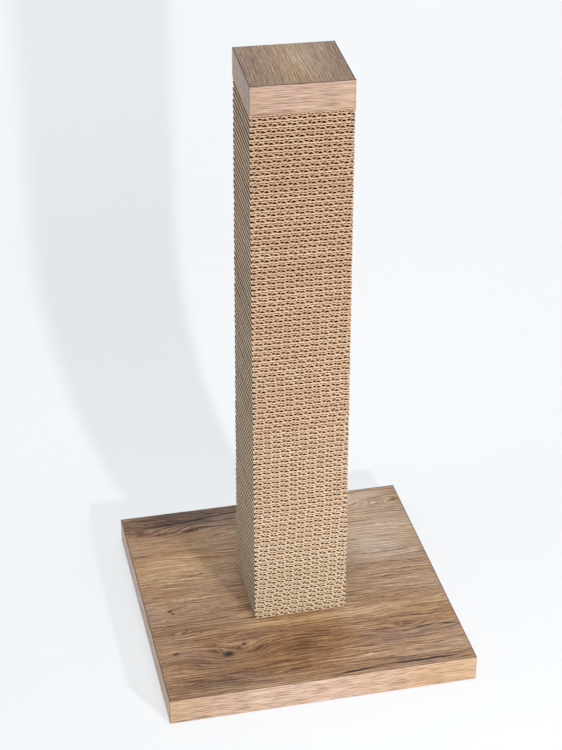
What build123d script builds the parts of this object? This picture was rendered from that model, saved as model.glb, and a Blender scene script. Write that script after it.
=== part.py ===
from build123d import *
import math
import os

os.makedirs("parts", exist_ok=True)

# A scratching post: a square column of stacked corrugated sheets between a base board and a cap board.
# Millimetres, +Z up, front towards -Y, origin at the centre of the base's underside.

# Boards of faced chipboard
base_size = 280.0
base_thickness = 25.0
cap_thickness = 25.0
cap_overhang = 0.25

# Edge strips glued round each board, with their outer edges trimmed to a bevel
strip_thickness = 1.0
strip_bevel = 0.6

# Double-wall corrugated sheets: liner, small fluting, liner, large fluting, liner.
# Each is turned a little on the rod, so that the stack twists from base to cap
post_size = 85.5
sheet_count = 95
sheets_per_bundle = 5
stack_turn_degrees = -2.6
liner_thickness = 0.3
small_flute_height = 1.7
large_flute_height = 2.65
large_flute_pitch = 8.05
flute_shift = 3.0
shortest_flute_run = 0.2

# Tie rod through the middle of everything, with the clearance round it in sheets and boards
rod_diameter = 8.0
rod_end_chamfer = 0.8
sheet_hole_clearance = 1.0
board_hole_clearance = 0.5
thread_clearance = 0.05

# Threaded sleeve in the cap, where the rod ends
insert_wall = 2.0
insert_length = 18.0
insert_fit_clearance = 0.05
rod_short_of_insert_end = 2.0

# Washer and nut in a round recess under the base
washer_rim = 8.0
washer_thickness = 2.0
washer_bore_clearance = 0.2
nut_wall = 2.5
nut_height = 6.5
rod_tail = 2.5
rod_above_floor = 1.0
recess_margin = 3.0

# Sizes that follow from these
sheet_thickness = 3 * liner_thickness + small_flute_height + large_flute_height
stack_height = sheet_count * sheet_thickness
stack_bottom = base_thickness
stack_top = stack_bottom + stack_height
cap_size = post_size + 2 * cap_overhang
nut_bottom = rod_above_floor + rod_tail
washer_bottom = nut_bottom + nut_height
recess_depth = washer_bottom + washer_thickness
washer_diameter = rod_diameter + 2 * washer_rim
insert_diameter = rod_diameter + 2 * insert_wall
threaded_bore = rod_diameter + 2 * thread_clearance


def upright(diameter, bottom, top):
    """A round cylinder on the post's axis from one height to another."""
    return Pos(0, 0, (bottom + top) / 2) * Cylinder(diameter / 2, top - bottom)


def board(size, bottom, thickness):
    """The chipboard panel inside its edge strips."""
    side = size - 2 * strip_thickness
    return Pos(0, 0, bottom + thickness / 2) * Box(side, side, thickness)


def edge_strips(size, bottom, thickness):
    """Four strips round a board by name: front and back cover the ends of left and right."""
    middle = bottom + thickness / 2
    offset = (size - strip_thickness) / 2
    front = Pos(0, -offset, middle) * Box(size, strip_thickness, thickness)
    front = chamfer(front.faces().sort_by(Axis.Y)[0].edges(), strip_bevel)
    right = Pos(offset, 0, middle) * Box(strip_thickness, size - 2 * strip_thickness, thickness)
    right = chamfer(right.faces().sort_by(Axis.X)[-1].edges().filter_by(Axis.Y), strip_bevel)
    half_turn = Rot(0, 0, 180)
    return {"front": front, "back": half_turn * front, "right": right, "left": half_turn * right}


def flute_height_at(x, shift):
    """Height of the channels' roof above the liner: a triangular wave, zero where a ridge stands on it."""
    turn = ((x - shift) / large_flute_pitch) % 1.0
    return large_flute_height * (1.0 - abs(2.0 * turn - 1.0))


def flute_line(shift):
    """Corners of the large fluting across the sheet, from its left side to its right side."""
    half = post_size / 2
    run = large_flute_pitch / 2
    first = math.ceil((shortest_flute_run - half - shift) / run)
    last = math.floor((half - shortest_flute_run - shift) / run)
    inner = [shift + run * i for i in range(first, last + 1)]
    return [(x, flute_height_at(x, shift)) for x in [-half, *inner, half]]


def sheet(index):
    """One sheet, its large channels cut open from front to back under a closed slab of the upper plies.
    The liner under it is glued to the liner of the sheet below and counts as that sheet's top ply."""
    foot = stack_bottom + liner_thickness + index * sheet_thickness
    is_top = index == sheet_count - 1
    top_plies = 1 if is_top else 2
    top = foot + large_flute_height + liner_thickness + small_flute_height + top_plies * liner_thickness
    shift = (index * flute_shift) % large_flute_pitch
    outline = [(x, foot + height) for x, height in flute_line(shift)]
    outline += [(post_size / 2, top), (-post_size / 2, top)]
    profile = Plane.XZ * make_face(Polyline(*outline, close=True))
    turn = Rot(0, 0, stack_turn_degrees * (index + 1) / sheet_count)
    return turn * (extrude(profile, amount=post_size / 2, both=True) - rod_hole)


hole_side = rod_diameter + 2 * sheet_hole_clearance
rod_hole = Pos(0, 0, (stack_bottom + stack_top) / 2) * Box(hole_side, hole_side, stack_height)

# Base board with the rod's hole and, under it, the recess for washer and nut
base_board = board(base_size, 0, base_thickness)
base_board -= upright(rod_diameter + 2 * board_hole_clearance, 0, base_thickness)
base_board -= upright(washer_diameter + 2 * recess_margin, 0, recess_depth)
export_step(base_board, "parts/base_board.step")
for side, strip in edge_strips(base_size, 0, base_thickness).items():
    export_step(strip, f"parts/base_strip_{side}.step")

# The stack of sheets in bundles, the lowest one standing on the first liner
lowest_liner = Pos(0, 0, stack_bottom + liner_thickness / 2) * Box(post_size, post_size, liner_thickness)
lowest_liner -= rod_hole
for bundle, first_sheet in enumerate(range(0, sheet_count, sheets_per_bundle), start=1):
    last_sheet = min(first_sheet + sheets_per_bundle, sheet_count)
    plies = [sheet(index) for index in range(first_sheet, last_sheet)]
    if bundle == 1:
        plies.insert(0, lowest_liner)
    export_step(Compound(children=plies), f"parts/sheets_{bundle:02d}.step")

# Cap board with a blind hole for the insert, turned as the top sheet is
cap_turn = Rot(0, 0, stack_turn_degrees)
cap_board = cap_turn * board(cap_size, stack_top, cap_thickness)
insert_hole = insert_diameter + 2 * insert_fit_clearance
cap_board -= upright(insert_hole, stack_top, stack_top + insert_length)
export_step(cap_board, "parts/cap_board.step")
for side, strip in edge_strips(cap_size, stack_top, cap_thickness).items():
    export_step(cap_turn * strip, f"parts/cap_strip_{side}.step")

# Threaded sleeve in the cap
cap_insert = upright(insert_diameter, stack_top, stack_top + insert_length)
cap_insert -= upright(threaded_bore, stack_top, stack_top + insert_length)
export_step(cap_insert, "parts/cap_insert.step")

# Tie rod from just above the floor to just short of the insert's end
tie_rod = upright(rod_diameter, rod_above_floor, stack_top + insert_length - rod_short_of_insert_end)
tie_rod = chamfer(tie_rod.edges().filter_by(GeomType.CIRCLE), rod_end_chamfer)
export_step(tie_rod, "parts/tie_rod.step")

# Washer against the recess's ceiling
washer_bore = rod_diameter + 2 * washer_bore_clearance
base_washer = upright(washer_diameter, washer_bottom, recess_depth)
base_washer -= upright(washer_bore, washer_bottom, recess_depth)
export_step(base_washer, "parts/base_washer.step")

# Hexagon nut under the washer
flat_radius = rod_diameter / 2 + nut_wall
hexagon = RegularPolygon(flat_radius, side_count=6, major_radius=False)
base_nut = Pos(0, 0, nut_bottom) * extrude(hexagon, amount=nut_height)
base_nut -= upright(threaded_bore, nut_bottom, washer_bottom)
export_step(base_nut, "parts/base_nut.step")
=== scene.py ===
import bpy
import numpy as np
from mathutils import Matrix, Vector


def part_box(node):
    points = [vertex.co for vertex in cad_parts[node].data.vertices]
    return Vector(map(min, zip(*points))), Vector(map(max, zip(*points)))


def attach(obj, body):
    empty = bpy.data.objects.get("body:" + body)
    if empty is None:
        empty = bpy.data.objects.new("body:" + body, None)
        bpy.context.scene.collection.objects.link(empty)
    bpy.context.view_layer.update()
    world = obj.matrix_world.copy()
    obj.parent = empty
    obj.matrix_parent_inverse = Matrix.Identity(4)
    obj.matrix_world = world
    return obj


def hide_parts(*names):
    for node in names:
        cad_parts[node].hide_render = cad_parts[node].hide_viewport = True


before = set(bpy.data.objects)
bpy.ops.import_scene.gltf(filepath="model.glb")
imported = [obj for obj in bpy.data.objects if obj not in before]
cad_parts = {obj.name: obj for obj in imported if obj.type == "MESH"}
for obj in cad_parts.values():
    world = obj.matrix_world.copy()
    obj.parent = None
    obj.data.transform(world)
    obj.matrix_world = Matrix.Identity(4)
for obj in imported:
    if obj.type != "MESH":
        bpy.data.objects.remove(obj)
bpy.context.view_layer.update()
mm = 0.001


# Base board: a square of 25 mm chipboard, faced above and below with printed oak paper under melamine.
# The print shows rustic oak with knots and drying cracks, and its grain runs from side to side.
# The rod's hole and the recess under it are bored, so raw chips show there.
def linear(code):
    """An sRGB hex colour as linear RGBA: each channel's sRGB curve undone."""
    srgb = np.array([int(code[i:i + 2], 16) for i in (1, 3, 5)]) / 255
    return [*np.where(srgb > 0.04045, ((srgb + 0.055) / 1.055) ** 2.4, srgb / 12.92), 1.0]


def add(tree, kind, inputs, stops=(), **settings):
    """Adds one shader node and returns its outputs. Inputs, by name or number, are values or other outputs;
    stops are a colour ramp's places and hex colours; settings are the node's properties."""
    node = tree.nodes.new("ShaderNode" + kind)
    for key, value in settings.items():
        setattr(node, key, value)
    for key, value in inputs.items():
        if isinstance(value, bpy.types.NodeSocket):
            tree.links.new(value, node.inputs[key])
        else:
            node.inputs[key].default_value = value
    for i, (place, colour) in enumerate(stops):
        if i >= len(node.color_ramp.elements):
            node.color_ramp.elements.new(place)
        node.color_ramp.elements[i].position = place
        node.color_ramp.elements[i].color = linear(colour)
    return node.outputs


def new_surface(name, **sockets):
    """A material with one principled shader. Sockets hold what is the same all over the surface."""
    material = bpy.data.materials.new(name)
    material.use_nodes = True
    shader = material.node_tree.nodes["Principled BSDF"]
    for key, value in sockets.items():
        shader.inputs[key.replace("_", " ")].default_value = value
    return material, material.node_tree, shader


def streaks(tree, grain, length, width, detail):
    """Noise drawn out along the grain, in spots about length by width millimetres."""
    drawn = add(tree, "VectorMath", {0: grain, 1: (1 / length, 1 / width, 0)}, operation="MULTIPLY")[0]
    noise = {"Vector": drawn, "Scale": 1.0, "Detail": detail, "Roughness": 0.6}
    return add(tree, "TexNoise", noise, noise_dimensions="2D")[0]


def weigh(tree, start, *parts):
    """A sum: the start value, plus each part's noise about its middle times the part's weight."""
    total = start - sum(weight for _, weight in parts) / 2
    for noise, weight in parts:
        total = add(tree, "Math", {0: noise, 1: weight, 2: total}, operation="MULTIPLY_ADD")[0]
    return total


def oak_print(name, grain_turn, sway, ring_gap, ring_weight, lines, greyness, patches, bored_radius):
    """Printed oak paper under satin melamine: brown and grey-brown grain lines, fine dark pores, soft gloss.
    The lines are contours of the distance across the grain, bent by slow noise and pushed aside by patches.
    Sway is how far they wander in mm, and lines are their lengths and widths in mm and their weights.
    Rings are darker lines of late wood, a sine of the same distance, with their gap in mm and their weight.
    A patch is an ellipse: x, y, half length and half width in mm, slope in degrees, push in mm, change of
    tone and change of greyness. Inside the bored radius, in mm, raw chips show."""
    material, tree, shader = new_surface(name, IOR=1.5, Specular_IOR_Level=0.25)
    place = add(tree, "TexCoord", {})["Object"]
    flat_mm = (1 / mm, 1 / mm, 0)
    flat = add(tree, "Mapping", {"Vector": place, "Rotation": (0, 0, grain_turn), "Scale": flat_mm})[0]
    slow_bend = streaks(tree, flat, 130, 30, 2)
    quick_bend = streaks(tree, flat, 40, 9, 2)
    wander = weigh(tree, 0.0, (slow_bend, sway), (quick_bend, sway / 5))
    ripple = weigh(tree, 0.0, (streaks(tree, flat, 14, 60, 3), 2.4))
    shifted = add(tree, "CombineXYZ", {"Y": ripple})[0]
    spot = add(tree, "VectorMath", {0: flat, 1: shifted}, operation="ADD")[0]
    parts = add(tree, "SeparateXYZ", {0: flat})
    across = add(tree, "Math", {0: parts["Y"], 1: wander}, operation="ADD")[0]
    tone = 0.0
    greyed = weigh(tree, greyness, (streaks(tree, flat, 120, 45, 1), 1.0))
    for x, y, length, width, slope, push, change, greying in patches:
        ellipse = {"Vector": spot, "Location": (x, y, 0), "Rotation": (0, 0, np.radians(slope)),
                   "Scale": (length, width, 1)}
        inside = add(tree, "Mapping", ellipse, vector_type="TEXTURE")[0]
        reach = add(tree, "VectorMath", {0: inside}, operation="LENGTH")["Value"]
        fade = {"Value": reach, "From Max": 1.0, "To Min": 1.0, "To Max": 0.0}
        cover = add(tree, "MapRange", fade, interpolation_type="SMOOTHSTEP")[0]
        across = add(tree, "Math", {0: cover, 1: push, 2: across}, operation="MULTIPLY_ADD")[0]
        tone = add(tree, "Math", {0: cover, 1: change, 2: tone}, operation="MULTIPLY_ADD")[0]
        greyed = add(tree, "Math", {0: cover, 1: greying, 2: greyed}, operation="MULTIPLY_ADD")[0]
    grain = add(tree, "CombineXYZ", {"X": parts["X"], "Y": across})[0]
    # Fibres and pores are drawn wider than the print's own, so that they show in the render.
    fibre = streaks(tree, grain, 20, 0.8, 3)
    pores = streaks(tree, grain, 7, 0.5, 2)
    line_parts = [(streaks(tree, grain, length, width, 3), weight) for length, width, weight in lines]
    drawn = weigh(tree, 0.57, *line_parts, (fibre, 0.85))
    tone = add(tree, "Math", {0: drawn, 1: tone}, operation="ADD")[0]
    wobble = weigh(tree, 0.0, (streaks(tree, grain, 200, 14, 2), 16.0))
    turns = add(tree, "Math", {0: across, 1: 2 * np.pi / ring_gap, 2: wobble}, operation="MULTIPLY_ADD")[0]
    ring = add(tree, "Math", {0: turns}, operation="SINE")[0]
    late_wood = add(tree, "MapRange", {"Value": ring, "From Min": -0.1, "From Max": 1.0})[0]
    tone = add(tree, "Math", {0: late_wood, 1: -ring_weight, 2: tone}, operation="MULTIPLY_ADD")[0]
    open_pores = {"Value": pores, "From Min": 0.56, "From Max": 0.72}
    pore = add(tree, "MapRange", open_pores)[0]
    tone = add(tree, "Math", {0: pore, 1: -0.25, 2: tone}, operation="MULTIPLY_ADD")[0]
    brown = add(tree, "ValToRGB", {0: tone}, [(0.0, "#32221a"), (0.25, "#76543d"), (0.5, "#a7815c"),
                                              (0.75, "#cdab82"), (1.0, "#ebd4ab")])[0]
    grey = add(tree, "ValToRGB", {0: tone}, [(0.0, "#362d29"), (0.25, "#7b665b"), (0.5, "#b09684"),
                                             (0.75, "#d0bba6"), (1.0, "#ece1ce")])[0]
    colour = add(tree, "Mix", {0: greyed, 6: brown, 7: grey}, data_type="RGBA")[2]
    if bored_radius:
        chip_length, chip_thickness = 20 / 7 * mm, 10 / 7 * mm
        chip_scale = (1 / chip_length, 1 / chip_length, 1 / chip_thickness)
        chip_spots = add(tree, "VectorMath", {0: place, 1: chip_scale}, operation="MULTIPLY")[0]
        chips = add(tree, "TexVoronoi", {"Vector": chip_spots, "Scale": 1.0})["Color"]
        chip_tone = add(tree, "SeparateColor", {0: chips})[0]
        raw = add(tree, "ValToRGB", {0: chip_tone}, [(0.0, "#8d6b45"), (0.5, "#bf9c6d"), (1.0, "#dcc095")])[0]
        from_axis = add(tree, "VectorMath", {0: flat}, operation="LENGTH")["Value"]
        bored = add(tree, "Math", {0: from_axis, 1: bored_radius}, operation="LESS_THAN")[0]
        colour = add(tree, "Mix", {0: bored, 6: colour, 7: raw}, data_type="RGBA")[2]
    tree.links.new(colour, shader.inputs["Base Color"])
    gloss = {"Value": fibre, "From Min": 0.3, "From Max": 0.7, "To Min": 0.52, "To Max": 0.40}
    tree.links.new(add(tree, "MapRange", gloss)[0], shader.inputs["Roughness"])
    emboss = streaks(tree, flat, 14, 0.7, 2)
    relief = add(tree, "Bump", {"Height": emboss, "Strength": 0.25, "Distance": 0.06 * mm})[0]
    tree.links.new(relief, shader.inputs["Normal"])
    return material


def dress(node, material):
    """Gives a solid's own mesh a finish in place of the plain one that it came with."""
    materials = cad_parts[node].data.materials
    materials.clear()
    materials.append(material)


base_patches = [
    # broad stretches: golden beside the post; dark at the back left and amber in front of it, partly painted
    # light
    # the second below, dark at the back left, is print with cracks and in part painted shadow of the post
    (0, -95, 175, 55, 0, 0, -0.08, -0.15), (-88, 128, 120, 34, 0, 0, -0.34, 0.2),
    (-105, 50, 75, 48, 0, 0, 0.15, -0.4), (-105, -40, 70, 34, 0, 0, -0.12, 0.0),
    (-92, -85, 80, 40, 0, 0, -0.12, 0.0), (-85, -122, 110, 24, 4, 0, -0.14, 0.0),
    # the first below, amber in front of the post, is print and in part painted reflection of the post
    (-8, -85, 62, 34, 10, 0, -0.14, -0.8), (95, 60, 85, 100, 0, 0, 0.16, 0.7),
    (92, 125, 60, 30, 0, 0, 0.15, 0.5), (88, -92, 85, 16, 4, 0, -0.12, 0.3),
    (30, -52, 150, 9, -1, 0, 0.16, 0.0), (80, -115, 90, 14, 2, 0, 0.03, 0.0),
    # the last below, a dark line just in front of the post's foot, is painted shade
    (60, -131, 110, 9, 2, 0, -0.18, 0.0), (0, -46, 46, 7, 0, 0, -0.10, -0.4),
    # grain swirling round the knots and along the dark band
    (-66, -88, 60, 24, 6, 7, 0, 0), (-118, -90, 34, 15, 0, -5, 0, 0),
    (-125, 104, 40, 13, 0, 8, 0, 0), (-70, 112, 34, 12, 0, -6, 0, 0),
    (118, 122, 50, 16, 0, -10, 0, 0), (-117, -17, 22, 9, 0, 3, 0, 0),
    (96, -86, 40, 12, 0, 5, 0, 0),
    # knots
    (-76.5, -87.5, 8, 5, 10, 1, -0.55, 0.5), (-60.5, -76.5, 2.8, 2.3, 0, 0, -0.7, 0),
    (-123, -77.5, 5, 2.2, 10, 0, -0.6, 0), (-117.8, -15.5, 3.2, 2.6, 0, 0, -0.5, -0.5),
    (-115.5, -19.5, 2.6, 2.2, -30, 0, -0.45, -0.5), (-110, -49, 6, 2, 35, 0, -0.3, 0),
    # drying cracks and dark streaks
    (-75, 122.3, 58, 1.7, 6, 0, -0.75, 0.3), (-25, 128.5, 24, 1.2, 4, 0, -0.6, 0.3),
    (-95, 106, 48, 3.5, 3, 0, -0.28, 0.2), (-45, 108, 40, 3.0, -4, 0, -0.26, 0.2),
    (-120, 132, 40, 2.5, 0, 0, -0.2, 0.2), (30, -134.6, 34, 1.8, 5, 0, -0.7, 0.3),
    (98, -132.2, 46, 2.2, -1, 0, -0.75, 0.3), (-18, -120.5, 18, 1.2, 1, 0, -0.6, 0),
    (60, -124, 42, 1.0, -3, 0, -0.45, 0.2), (104, -86.5, 22, 2.0, 6, 0, -0.45, 0.3),
    (129, -87, 14, 1.8, -12, 0, -0.45, 0.3), (70, -83, 26, 1.4, -2, 0, -0.3, 0.3),
    (118, 123, 28, 1.8, 8, 0, -0.4, 0.3), (-100, -104, 40, 1.6, -6, 0, -0.2, 0),
    (-60, -112, 50, 1.6, 6, 0, -0.2, 0),
]
recess_radius = 15.2
base_lines = [(260, 10, 0.34), (70, 1.7, 0.75)]
base_print = oak_print("oak_print_paper", grain_turn=0.0, sway=14.0, ring_gap=3.4, ring_weight=0.16,
                       lines=base_lines, greyness=0.27, patches=base_patches, bored_radius=recess_radius)
dress("base_board", base_print)


# Edge strips of the base: ABS bands 1 mm thick with a paler oak print, glued round the raw edge of the board.
# Their outer edges are trimmed round, which cuts through the print to the brown plastic.
def put_mesh(name, points, faces, smooth, material, **attributes):
    """Makes an object from an array of points and arrays of faces, each array of one number of corners.
    Smooth says for each array whether its faces are shaded as one curve, which breaks at sharp edges.
    An attribute is a number for each point."""
    mesh = bpy.data.meshes.new(name)
    corners = np.concatenate([group.ravel() for group in faces])
    sizes = np.concatenate([np.full(len(group), group.shape[1]) for group in faces])
    mesh.vertices.add(len(points))
    mesh.vertices.foreach_set("co", np.asarray(points, np.float32).ravel())
    mesh.loops.add(len(corners))
    mesh.loops.foreach_set("vertex_index", corners.astype(np.int32))
    mesh.polygons.add(len(sizes))
    mesh.polygons.foreach_set("loop_start", (np.cumsum(sizes) - sizes).astype(np.int32))
    mesh.polygons.foreach_set("use_smooth", np.repeat(smooth, [len(group) for group in faces]))
    for key, values in attributes.items():
        mesh.attributes.new(key, "FLOAT", "POINT").data.foreach_set("value", np.asarray(values, np.float32))
    mesh.update(calc_edges=True)
    mesh.validate()
    mesh.set_sharp_from_angle(angle=sharp_edge)
    mesh.materials.append(material)
    piece = bpy.data.objects.new(name, mesh)
    bpy.context.scene.collection.objects.link(piece)
    return piece


def trimmed_stations(length, radius):
    """Places along a length with a quarter round at each end, and how far the surface drops at each place."""
    if radius == 0:
        return np.array([0, length]), np.zeros(2)
    angle = np.radians([0, 22, 45, 68, 90])
    support = 2 * radius
    place = np.append(radius * (1 - np.cos(angle)), support)
    drop = np.append(radius * (1 - np.sin(angle)), 0)
    return np.append(place, length - place[::-1]), np.append(drop, drop[::-1])


def edge_strip(name, start, along, outward, length, height, end_radius, material):
    """A strip as a height field over its length and height: the thickness less the drop of its trimmed edges.
    A flat back and a rim close it. Start is the lower corner on the board's edge."""
    s, s_drop = trimmed_stations(length, end_radius)
    h, h_drop = trimmed_stations(height, trim_radius)
    drop = np.hypot(*np.meshgrid(s_drop, h_drop, indexing="ij"))
    s, h = np.meshgrid(s, h, indexing="ij")
    depth = np.stack([strip_thickness - drop, np.zeros_like(drop)])
    up = np.array([0, 0, 1.0])
    points = start + s[..., None] * along + h[..., None] * up + depth[..., None] * outward
    index = np.arange(points[..., 0].size).reshape(2, *s.shape)
    face, back = index
    rings = [np.concatenate([grid[:-1, 0], grid[-1, :-1], grid[:0:-1, -1], grid[0, :0:-1]]) for grid in index]
    rim = np.stack([rings[1], np.roll(rings[1], -1), np.roll(rings[0], -1), rings[0]], axis=1)
    face = np.stack([face[:-1, :-1], face[1:, :-1], face[1:, 1:], face[:-1, 1:]], axis=-1).reshape(-1, 4)
    back = np.stack([back[:-1, :-1], back[:-1, 1:], back[1:, 1:], back[1:, :-1]], axis=-1).reshape(-1, 4)
    bare = np.stack([np.clip(2 * drop / trim_radius, 0, 1), np.ones_like(drop)])
    length_mm, height_mm = np.stack([s, s]) / mm, np.stack([h, h]) / mm
    return put_mesh(name, points.reshape(-1, 3), [face, back, rim], [True, False, False], material,
                    strip_along=length_mm.ravel(), strip_up=height_mm.ravel(), bare_plastic=bare.ravel())


def oak_strip_print(name, length, pale, golden, brown):
    """Oak printed on ABS: fine straight fibres in pinkish beige, golden towards the strip's ends, satin.
    Where the edge is trimmed, the plain brown plastic shows. The fibres are drawn coarser than printed."""
    material, tree, shader = new_surface(name, IOR=1.5, Roughness=0.45)
    along = add(tree, "Attribute", {}, attribute_name="strip_along")["Fac"]
    up = add(tree, "Attribute", {}, attribute_name="strip_up")["Fac"]
    bare = add(tree, "Attribute", {}, attribute_name="bare_plastic")["Fac"]
    flat = add(tree, "CombineXYZ", {"X": along, "Y": up})[0]
    sway = weigh(tree, 0.0, (streaks(tree, flat, 60, 40, 2), 1.6))
    up = add(tree, "Math", {0: up, 1: sway}, operation="ADD")[0]
    grain = add(tree, "CombineXYZ", {"X": along, "Y": up})[0]
    fibre = streaks(tree, grain, 18, 0.45, 1)
    bands = streaks(tree, grain, 90, 5, 2)
    long_fibre = streaks(tree, grain, 60, 0.7, 1)
    tone = weigh(tree, 0.5, (bands, 0.3), (long_fibre, 1.1), (fibre, 2.2))
    shade = add(tree, "ValToRGB", {0: tone}, [(0.1, "#a89284"), (0.5, "#ebebeb"), (0.9, "#ffffff")])[0]
    palest_at = 0.42 * length / mm
    from_middle = add(tree, "Math", {0: along, 1: palest_at}, operation="SUBTRACT")[0]
    from_middle = add(tree, "Math", {0: from_middle}, operation="ABSOLUTE")[0]
    hue = weigh(tree, -0.2, (streaks(tree, flat, 70, 60, 1), 1.2))
    hue = add(tree, "Math", {0: from_middle, 1: 2.4 * mm / length, 2: hue}, operation="MULTIPLY_ADD")[0]
    print_colour = add(tree, "Mix", {0: hue, 6: linear(pale), 7: linear(golden)}, data_type="RGBA")[2]
    shaded = {0: 1.0, 6: print_colour, 7: shade}
    printed = add(tree, "Mix", shaded, data_type="RGBA", blend_type="MULTIPLY")[2]
    colour = add(tree, "Mix", {0: bare, 6: printed, 7: linear(brown)}, data_type="RGBA")[2]
    tree.links.new(colour, shader.inputs["Base Color"])
    relief = add(tree, "Bump", {"Height": fibre, "Strength": 0.2, "Distance": 0.05 * mm})[0]
    tree.links.new(relief, shader.inputs["Normal"])
    return material


def put_strips(board, size, bottom, height, turn, material):
    """Four strips round a square board. Front and back run its full width and cover the others' ends."""
    half = size / 2
    inner = half - strip_thickness
    for side, quarter in (("front", 0), ("right", 1), ("back", 2), ("left", 3)):
        covers = quarter % 2 == 0
        reach = half if covers else inner
        end_radius = trim_radius if covers else 0.0
        angle = turn + quarter * np.pi / 2
        along = np.array([np.cos(angle), np.sin(angle), 0])
        outward = np.array([np.sin(angle), -np.cos(angle), 0])
        start = inner * outward - reach * along + np.array([0, 0, bottom])
        name = f"{board}_edge_{side}"
        strip = edge_strip(name, start, along, outward, 2 * reach, height, end_radius, material)
        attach(strip, "root")
        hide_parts(f"{board}_strip_{side}")


sharp_edge = np.radians(50)
strip_thickness = 1.0 * mm
trim_radius = 0.6 * mm
base_low, base_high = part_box("base_strip_front")
base_size = base_high.x - base_low.x
base_top = base_high.z
base_strip_print = oak_strip_print("oak_print_abs_base", base_size, pale="#dabea9", golden="#d2b08d",
                                   brown="#5c4338")
put_strips("base", base_size, 0.0, base_top, 0.0, base_strip_print)


# Tie rod, washer, nut and insert: zinc-plated steel. The rod's ends are threaded, the upper one into the
# insert in the cap. The nut under the base draws it tight against the washer, which spreads the pull over
# the ceiling of the recess.
def turned_piece(name, angle, radius, height, ring_closed, material):
    """A piece about the post's axis: rings of points with their own radius and height at each angle.
    The last ring joins the first where the rings close, else flat ends close the piece."""
    points = np.stack([radius * np.cos(angle), radius * np.sin(angle), height], axis=-1)
    index = np.arange(radius.size).reshape(radius.shape)
    rows = np.concatenate([index, index[:1]]) if ring_closed else index
    after = np.roll(rows, -1, axis=1)
    walls = np.stack([rows[:-1], after[:-1], after[1:], rows[1:]], axis=-1).reshape(-1, 4)
    faces = [walls] if ring_closed else [walls, np.stack([index[0, ::-1], index[-1]])]
    return put_mesh(name, points.reshape(-1, 3), faces, [True, False][:len(faces)], material)


# Bright zinc plating: a cool metal sheen, clouded by duller and warmer patches.
material, tree, shader = new_surface("zinc_plated_steel", Metallic=1.0)
place = add(tree, "TexCoord", {})["Object"]
clouds = add(tree, "TexNoise", {"Vector": place, "Scale": 1 / (3 * mm), "Detail": 3.0})[0]
plating = add(tree, "ValToRGB", {0: clouds}, [(0.3, "#a9adb3"), (0.5, "#bfc2c6"), (0.7, "#cdccc4")])[0]
tree.links.new(plating, shader.inputs["Base Color"])
dull = {"Value": clouds, "From Min": 0.3, "From Max": 0.7, "To Min": 0.28, "To Max": 0.46}
tree.links.new(add(tree, "MapRange", dull)[0], shader.inputs["Roughness"])
zinc_plated_steel = material
for name in ("base_washer", "cap_insert"):
    dress(name, zinc_plated_steel)

rod_radius, rod_end_radius = 4.0 * mm, 3.2 * mm
thread_pitch, thread_depth = 1.25 * mm, 0.65 * mm
rings_per_turn, points_round_rod = 10, 48
lower_thread, upper_thread = 20 * mm, 30 * mm
rod_low, rod_high = (corner.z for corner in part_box("tie_rod"))
lower_count, upper_count = (round(length / thread_pitch * rings_per_turn) + 1
                            for length in (lower_thread, upper_thread))
lower_rings = np.linspace(rod_low, rod_low + lower_thread, lower_count)
upper_rings = np.linspace(rod_high - upper_thread, rod_high, upper_count)
round_rod = np.linspace(0, 2 * np.pi, points_round_rod, endpoint=False)
angle, height = np.meshgrid(round_rod, np.append(lower_rings, upper_rings))
# The threads are a triangle wave of the helix's turns, cut into the rod, with a cone at either end.
thread_turn = height / thread_pitch - angle / (2 * np.pi)
cut = thread_depth * (1 - np.abs(2 * (thread_turn % 1) - 1))
end_cone = rod_end_radius + np.minimum(height - rod_low, rod_high - height)
radius = np.minimum(rod_radius - cut, end_cone)
rod = turned_piece("threaded_rod", angle, radius, height, False, zinc_plated_steel)
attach(rod, "root")
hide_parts("tie_rod")

nut_flat, nut_bore, nut_chamfer_start = 6.5 * mm, 4.05 * mm, 6.2 * mm
nut_chamfer_slope = np.radians(30)
points_round_nut = 96
nut_low, nut_high = (corner.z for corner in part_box("base_nut"))
angle = np.linspace(0, 2 * np.pi, points_round_nut, endpoint=False)
# A hexagon's radius is that of its flats over the cosine of the angle from the middle of the nearest flat.
side = nut_flat / np.cos(angle % (np.pi / 3) - np.pi / 6)
bevel = (side - nut_chamfer_start) * np.tan(nut_chamfer_slope)
ring = np.ones_like(angle)
bore, face = nut_bore * ring, nut_chamfer_start * ring
low, high = nut_low * ring, nut_high * ring
radius = np.stack([bore, face, side, side, face, bore])
height = np.stack([low, low, low + bevel, high - bevel, high, high])
nut = turned_piece("hexagon_nut", angle, radius, height, True, zinc_plated_steel)
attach(nut, "root")
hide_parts("base_nut")


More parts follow.
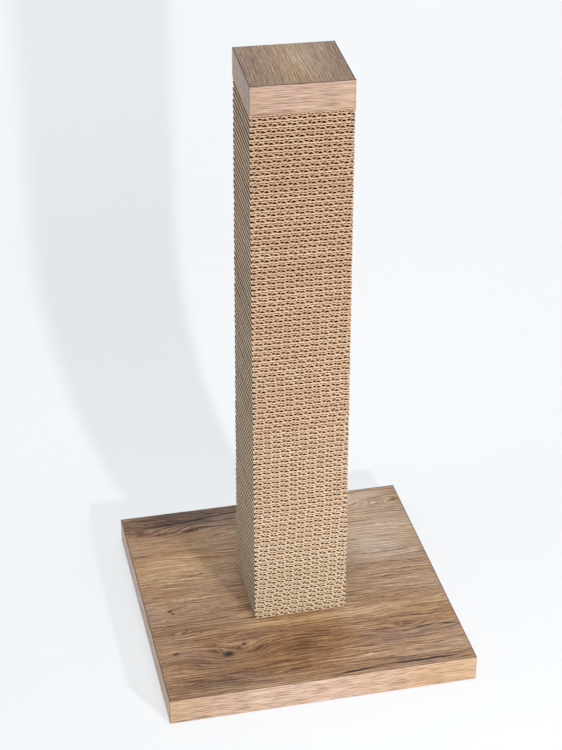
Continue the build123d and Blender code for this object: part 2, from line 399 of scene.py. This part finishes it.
# Sheets: 95 squares of double-wall corrugated board, die-cut and stacked flat with all flutes front to back.
# Each is five plies of kraft paper: liner, small fluting, liner, large fluting, liner, from the top down.
# The knife has frayed their edges, and each sheet sits on the rod a little turned against the one below.
def sheet_ply(across, low, high):
    """One ply: its lower and upper heights at stations across the flutes, carried from front to back.
    A square hole is left round the rod. Returns points, then faces: the paper's two sides, its cut edges,
    and the six-cornered ones of its two sides beside the hole."""
    at_hole = np.flatnonzero(np.abs(across) <= hole_half + hole_tolerance)
    left, right = at_hole[0], at_hole[-1]
    outer = [np.stack([across, np.full_like(across, y), z], axis=1)
             for y in (-sheet_half, sheet_half) for z in (low, high)]
    inner = [np.stack([across[at_hole], np.full(len(at_hole), y), z[at_hole]], axis=1)
             for y in (-hole_half, hole_half) for z in (low, high)]
    points = np.concatenate(outer + inner)
    n, m = len(across), len(at_hole)
    front_low, front_high, back_low, back_high = np.arange(4 * n).reshape(4, n)
    hole_rows = np.arange(4 * m).reshape(4, m) + 4 * n
    near_low, near_high, far_low, far_high = hole_rows

    def wall(a, b):
        return np.stack([a[:-1], a[1:], b[1:], b[:-1]], axis=1)

    sides = np.r_[0:left - 1, right + 1:n - 1]
    middle = slice(left, right + 1)
    paper = [wall(front_high, back_high)[sides], wall(back_low, front_low)[sides],
             wall(front_high[middle], near_high), wall(near_low, front_low[middle]),
             wall(far_high, back_high[middle]), wall(back_low[middle], far_low)]
    cuts = [wall(front_low, front_high), wall(back_high, back_low),
            wall(near_high, near_low), wall(far_low, far_high)]
    ends = [[back_low[0], front_low[0], front_high[0], back_high[0]],
            [front_low[-1], back_low[-1], back_high[-1], front_high[-1]],
            [near_low[0], far_low[0], far_high[0], near_high[0]],
            [far_low[-1], near_low[-1], near_high[-1], far_high[-1]]]
    beside = []
    for front, near, far, back, flip in ((front_high, near_high, far_high, back_high, 1),
                                         (front_low, near_low, far_low, back_low, -1)):
        before, after = left - 1, right + 1
        beside.append([front[before], front[left], near[0], far[0], back[left], back[before]][::flip])
        beside.append([front[right], front[after], back[after], back[right], far[-1], near[-1]][::flip])
    return points, np.concatenate(paper), np.concatenate(cuts + [np.array(ends)]), np.array(beside)


def fluting(foot, height, pitch, thickness, narrow_arch, narrow_trough, lean, torn_back, shift):
    """Stations and heights of a paper wave between two liners, drawn as thick as its frayed edge looks.
    Its lower side is a sine s made into (s - n) / (1 - n s), which narrows the arches by n, and its upper
    side (s + n) / (1 + n s), which narrows the troughs. Both are stretched by the glued share and cut off, so
    that feet and crests lie flat on the liners. Lean is how far the knife dragged the troughs' walls aside.
    At the sheet's sides the wave is torn back, or else crushed shut."""
    reach = sheet_half - torn_back
    across = np.union1d(np.linspace(-reach, reach, round(2 * reach / pitch * stations_per_wave)),
                        [-hole_half, hole_half])
    wave = 2 * np.pi * (across - shift) / pitch
    wave = wave + uneven_share * np.sin(uneven_rate * wave + shift / mm)
    arch = np.sin(wave)
    trough = np.sin(wave - 2 * np.pi * lean / pitch * np.cos(wave) ** 2)
    arch = (arch - narrow_arch) / (1 - narrow_arch * arch)
    trough = (trough + narrow_trough) / (1 + narrow_trough * trough)
    arch = np.maximum((1 + glued_share) * arch - glued_share, -1)
    trough = np.minimum((1 + glued_share) * trough + glued_share, 1)
    rise = (height - thickness) / 2
    crushed = np.abs(across) > sheet_half - crushed_edge
    low = np.where(crushed, foot, foot + rise * (1 + arch))
    high = np.where(crushed, foot + height, foot + thickness + rise * (1 + trough))
    return across, low, high


def liner(foot):
    """Stations and heights of a flat ply: one height below and one above, with stations beside the hole."""
    across = np.array([-sheet_half, -hole_half, hole_half, sheet_half])
    across = np.sort(np.append(across, [-hole_half - hole_margin, hole_half + hole_margin]))
    return across, np.full_like(across, foot), np.full_like(across, foot + liner_thickness)


# Raw kraft paper: matt and mottled. Cut edges are pale with frayed fibres, palest on the sheets' sides. The
# plies' faces, inside the channels, carry painted shade: dark red-brown, less dark near the sheets' sides,
# where the channels are torn open. The fibres are drawn coarser than they are, so that they show in the
# render.
material, tree, shader = new_surface("kraft_paper_board", Roughness=0.85, Specular_IOR_Level=0.25)
place = add(tree, "TexCoord", {})["Object"]
fibres = add(tree, "TexNoise", {"Vector": place, "Scale": 1 / (0.9 * mm), "Detail": 4.0})[0]
clouds = add(tree, "TexNoise", {"Vector": place, "Scale": 1 / (14 * mm), "Detail": 2.0})[0]
paper_tone = add(tree, "Attribute", {}, attribute_name="paper_tone")["Fac"]
mottle = weigh(tree, 0.5, (fibres, 0.7), (clouds, 0.5))
mottle = add(tree, "Math", {0: mottle, 1: paper_tone}, operation="ADD")[0]
from_side = add(tree, "Attribute", {}, attribute_name="from_side")["Fac"]
frayed = {"Value": from_side, "From Min": 0.6, "From Max": 0.2, "To Max": 0.4}
cut_tone = add(tree, "Math", {0: mottle, 1: add(tree, "MapRange", frayed)[0]}, operation="ADD")[0]
cut_paper = add(tree, "ValToRGB", {0: cut_tone}, [(0.0, "#b08c6a"), (0.5, "#d6b598"), (1.0, "#dccbaf")])[0]
# The plies' faces are painted dark red-brown: painted shade of the channels, not the paper's own colour.
paper_side_painted_shade = add(tree, "ValToRGB", {0: mottle}, [(0.0, "#782004"), (0.5, "#702406"), (1.0, "#84542a")])[0]
# Near the sheets' sides, where the channels are torn open, this painted shade is lighter.
torn = add(tree, "MapRange", {"Value": from_side, "From Min": 4.0, "From Max": 1.0})[0]
paper_side_painted_shade = add(tree, "Mix", {0: torn, 6: paper_side_painted_shade, 7: linear("#6e4a30")}, data_type="RGBA")[2]
facing_up = add(tree, "SeparateXYZ", {0: add(tree, "NewGeometry", {})["True Normal"]})["Z"]
facing_up = add(tree, "Math", {0: facing_up}, operation="ABSOLUTE")[0]
is_side = add(tree, "Math", {0: facing_up, 1: 0.25}, operation="GREATER_THAN")[0]
paper = add(tree, "Mix", {0: is_side, 6: cut_paper, 7: paper_side_painted_shade}, data_type="RGBA")[2]
tree.links.new(paper, shader.inputs["Base Color"])
relief = add(tree, "Bump", {"Height": fibres, "Strength": 0.3, "Distance": 0.05 * mm})[0]
tree.links.new(relief, shader.inputs["Normal"])
kraft_paper = material

sheet_count = 95
sheets_per_bundle = 5
stack_turn = np.radians(-2.6)
sheet_half = 42.75 * mm
hole_half, hole_margin, hole_tolerance = 5 * mm, 1 * mm, 0.0005 * mm
liner_thickness = 0.55 * mm
glued_share = 0.15
crushed_edge = 0.8 * mm
uneven_share, uneven_rate = 0.3, 0.31
large_height, small_height = 2.3 * mm, 1.3 * mm
large_wave = {"height": large_height, "pitch": 8.05 * mm, "thickness": 0.4 * mm, "narrow_arch": 0.27,
              "narrow_trough": 0.66, "lean": 0.8 * mm, "torn_back": 1.0 * mm}
small_wave = {"height": small_height, "pitch": 6.35 * mm, "thickness": 0.35 * mm, "narrow_arch": 0.25,
              "narrow_trough": 0.72, "lean": 0.3 * mm, "torn_back": 0.0}
stations_per_wave = 24
stack_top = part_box("cap_board")[0].z
sheet_thickness = (stack_top - base_top) / sheet_count
mean_shift, large_scatter, small_scatter = 0.3 * mm, 0.65 * mm, 0.8 * mm
out_of_line, out_of_turn = 0.1 * mm, np.radians(0.05)
ply_tones, tone_scatter = np.array([0.3, -0.2, 0.3, -0.2, 0.3]), 0.06
painted_light_foot_share, painted_shade_upwards, darker_overall = 0.19, 0.18, 0.12
chance = np.random.default_rng(95)
large_shift = np.cumsum(chance.normal(mean_shift, large_scatter, sheet_count))
small_shift = np.cumsum(chance.normal(mean_shift, small_scatter, sheet_count))
slip = chance.normal(0, out_of_line, (sheet_count, 2)).clip(-2 * out_of_line, 2 * out_of_line)
twist = stack_turn * np.arange(1, sheet_count + 1) / sheet_count + chance.normal(0, out_of_turn, sheet_count)
# The plies' tones differ by chance. The sheets are painted palest at the foot of the stack and darker
# upwards: painted light.
tones = chance.normal(0, tone_scatter, (sheet_count, len(ply_tones))) + ply_tones
up_the_stack = np.linspace(0, 1, sheet_count)[:, None]
tones = tones + np.exp(-up_the_stack / painted_light_foot_share) - painted_shade_upwards * up_the_stack - darker_overall

for bundle in range(sheet_count // sheets_per_bundle):
    points, paper_tones, from_sides, faces = [], [], [], ([], [], [])
    count = 0
    for number in range(bundle * sheets_per_bundle, (bundle + 1) * sheets_per_bundle):
        foot = base_top + number * sheet_thickness
        large_foot = foot + liner_thickness
        middle_foot = large_foot + large_height
        small_foot = middle_foot + liner_thickness
        plies = [liner(foot),
                 fluting(large_foot, shift=large_shift[number], **large_wave),
                 liner(middle_foot),
                 fluting(small_foot, shift=small_shift[number], **small_wave),
                 liner(small_foot + small_height)]
        cos, sin = np.cos(twist[number]), np.sin(twist[number])
        turned = np.array([[cos, sin, 0], [-sin, cos, 0], [0, 0, 1]])
        for ply, tone in zip(plies, tones[number]):
            ply_points, *ply_faces = sheet_ply(*ply)
            points.append(ply_points @ turned + np.append(slip[number], 0))
            for group, ply_group in zip(faces, ply_faces):
                group.append(ply_group + count)
            paper_tones.append(np.full(len(ply_points), tone))
            from_sides.append((sheet_half - np.abs(ply_points[:, 0])) / mm)
            count += len(ply_points)
    name = f"sheets_{bundle + 1:02d}"
    stack = put_mesh(f"cut_{name}", np.concatenate(points), [np.concatenate(group) for group in faces],
                     [True, False, True], kraft_paper, paper_tone=np.concatenate(paper_tones),
                     from_side=np.concatenate(from_sides))
    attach(stack, "root")
    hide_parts(name)


# Cap board: the same faced chipboard, drawn down on the stack by the insert in its underside.
# It has turned with the top sheet, and its grain runs from front to back.
cap_patches = [
    # darker towards the sides, golden along the middle
    (0, 40, 90, 14, 0, 0, -0.08, 0.0), (0, -40, 90, 14, 0, 0, -0.06, 0.0),
    (0, 4, 110, 30, 0, 0, 0.18, -0.3),
]
cap_lines = [(260, 12, 0.24), (300, 1.3, 0.5)]
cap_print = oak_print("oak_print_paper_cap", grain_turn=np.pi / 2 - stack_turn, sway=3.0, ring_gap=2.3,
                      ring_weight=0.18, lines=cap_lines, greyness=0.55, patches=cap_patches, bored_radius=0.0)
dress("cap_board", cap_print)


# Edge strips of the cap: the same ABS bands, glued round the board, trimmed as on the base, turned with it.
# Their print is pinker and, like their trimmed edges, darker than the base's: the darkness is painted shade.
cap_low, cap_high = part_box("cap_board")
cap_board_size = (cap_high.x - cap_low.x) / (np.cos(stack_turn) + np.sin(-stack_turn))
cap_size = cap_board_size + 2 * strip_thickness
# Its pale, golden and brown are darker than the base's: painted shade on the same bands.
cap_strip_print_painted_shade = oak_strip_print("oak_print_abs_cap", cap_size, pale="#c8a790", golden="#c2a187",
                                  brown="#3a271d")
put_strips("cap", cap_size, cap_low.z, cap_high.z - cap_low.z, stack_turn, cap_strip_print_painted_shade)


# Backdrop: a wide sheet of white studio paper, which lies flat under the post and curves up close behind it.
# It fills the view and takes the shadows. It shows whiter than it is lit, most where it stands upright, and
# from behind and below it is seen through, so it hides no side.
def ways_seen(tree):
    """One for rays from the camera, in a mirror or through glass, zero for rays that light a surface."""
    ray = add(tree, "LightPath", {})
    seen = add(tree, "Math", {0: ray["Is Camera Ray"], 1: ray["Is Glossy Ray"]}, operation="MAXIMUM")[0]
    return add(tree, "Math", {0: seen, 1: ray["Is Transmission Ray"]}, operation="MAXIMUM")[0]


# White studio paper: matt, with a faint blue cast.
material, tree, shader = new_surface("white_studio_paper", Roughness=0.9, Specular_IOR_Level=0.1)
shader.inputs["Base Color"].default_value = linear("#f0f4fb")
seen = ways_seen(tree)
glow = add(tree, "Emission", {"Color": linear("#fbfeff"), "Strength": 1.0})[0]
height = add(tree, "SeparateXYZ", {0: add(tree, "TexCoord", {})["Object"]})["Z"]
upright_from, flat_glow, upright_glow = 400 * mm, 0.56, 0.7
rising_glow = {"Value": height, "From Max": upright_from, "To Min": flat_glow, "To Max": upright_glow}
glow_share = add(tree, "MapRange", rising_glow)[0]
glow_share = add(tree, "Math", {0: seen, 1: glow_share}, operation="MULTIPLY")[0]
front_side = add(tree, "MixShader", {0: glow_share, 1: shader.outputs[0], 2: glow})[0]
rear_side = add(tree, "NewGeometry", {})["Backfacing"]
from_behind = add(tree, "Math", {0: rear_side, 1: seen}, operation="MULTIPLY")[0]
see_through = add(tree, "BsdfTransparent", {})[0]
both_sides = add(tree, "MixShader", {0: from_behind, 1: front_side, 2: see_through})[0]
tree.links.new(both_sides, tree.nodes["Material Output"].inputs[0])
# The sheet's profile is a line on the floor, a quarter circle and an upright line, carried from side to side.
paper_reach = 6000 * mm
flat_end, curve_radius = 150 * mm, 230 * mm
paper_drop = 0.2 * mm
curve_points = 25
angle = np.linspace(0, np.pi / 2, curve_points)
y = np.concatenate([[-paper_reach], flat_end + curve_radius * np.sin(angle), [flat_end + curve_radius]])
z = np.concatenate([[0], curve_radius * (1 - np.cos(angle)), [paper_reach]]) - paper_drop
points = np.stack([np.tile([-paper_reach, paper_reach], len(y)), np.repeat(y, 2), np.repeat(z, 2)], axis=1)
rows = np.arange(len(points)).reshape(-1, 2)
faces = np.stack([rows[:-1, 0], rows[:-1, 1], rows[1:, 1], rows[1:, 0]], axis=1)
backdrop = put_mesh("studio_backdrop", points, [faces], [True], material)


# Light: a small lamp low in front on the right is the main one and throws the post's shadow up the backdrop.
# A wide soft key comes from nearly overhead, and pale bluish light from the room fills in, most of it from
# the left.
# The strength of the key or the lamp is how bright it alone makes white paper that faces it.
key_strength = 0.44
key_right, key_height = np.radians(14), np.radians(80)
key_width = np.radians(40)
key = bpy.data.objects.new("key_light", bpy.data.lights.new("key_light", "SUN"))
key.data.energy = np.pi * key_strength
key.data.angle = key_width
key.data.color = linear("#fffaf4")[:3]
towards_key = Vector((np.sin(key_right) * np.cos(key_height), -np.cos(key_right) * np.cos(key_height),
                      np.sin(key_height)))
key.rotation_euler = towards_key.to_track_quat("Z", "Y").to_euler()
bpy.context.scene.collection.objects.link(key)

lamp_place = Vector((294, -1012, 393)) * mm
lamp_aim = Vector((0, 0, 260)) * mm
lamp_strength = 0.74
lamp = bpy.data.objects.new("low_lamp", bpy.data.lights.new("low_lamp", "AREA"))
lamp.data.shape = "DISK"
lamp.data.size = 60 * mm
lamp.data.energy = lamp_strength * np.pi ** 2 * (lamp_place - lamp_aim).length_squared
lamp.data.color = linear("#fffaf4")[:3]
lamp_turn = (lamp_place - lamp_aim).to_track_quat("Z", "Y").to_matrix().to_4x4()
lamp.matrix_world = Matrix.Translation(lamp_place) @ lamp_turn
bpy.context.scene.collection.objects.link(lamp)

level_strength, overhead_strength, left_strength = 0.03, 0.2, 1.0
world = bpy.data.worlds.new("pale_room")
world.use_nodes = True
bpy.context.scene.world = world
tree = world.node_tree
background = tree.nodes["Background"]
seen = ways_seen(tree)
room_colour = add(tree, "Mix", {0: seen, 6: linear("#e8f3f8"), 7: linear("#ffffff")}, data_type="RGBA")[2]
tree.links.new(room_colour, background.inputs["Color"])
way = add(tree, "SeparateXYZ", {0: add(tree, "TexCoord", {})["Generated"]})
overhead = {"Value": way["Z"], "To Min": level_strength, "To Max": overhead_strength}
overhead = add(tree, "MapRange", overhead)[0]
from_left = {"Value": way["X"], "From Min": -0.5, "From Max": -1.0, "To Max": left_strength}
from_left = add(tree, "MapRange", from_left)[0]
room = add(tree, "Math", {0: overhead, 1: from_left}, operation="ADD")[0]
strength = {"Value": seen, "To Min": room, "To Max": 1.0}
tree.links.new(add(tree, "MapRange", strength)[0], background.inputs["Strength"])


# Camera: a long lens from the left of the front, looking down at the post. Its place and roll are such that
# the corners of the boards and the post fall where the photograph has them.
view_right, view_height, view_roll = np.radians([-12.826, 31.073, 0.143])
view_distance = 1686.9 * mm
view_centre = np.array([-9.27, 0, 257.46]) * mm
focal_pixels, image_height = 1915.5, 750
back = np.array([np.sin(view_right) * np.cos(view_height), -np.cos(view_right) * np.cos(view_height),
                 np.sin(view_height)])
level = np.array([np.cos(view_right), np.sin(view_right), 0])
upright = np.cross(back, level)
image_right = np.cos(view_roll) * level + np.sin(view_roll) * upright
image_up = np.cos(view_roll) * upright - np.sin(view_roll) * level
camera = bpy.data.objects.new("camera", bpy.data.cameras.new("camera"))
camera.data.sensor_width = 36.0
camera.data.lens = focal_pixels / image_height * camera.data.sensor_width
camera.matrix_world = Matrix.Translation(view_centre + view_distance * back) @ Matrix(
    np.stack([image_right, image_up, back], axis=1).tolist()).to_4x4()
bpy.context.scene.collection.objects.link(camera)
bpy.context.scene.camera = camera
bpy.context.scene.view_settings.view_transform = "Standard"
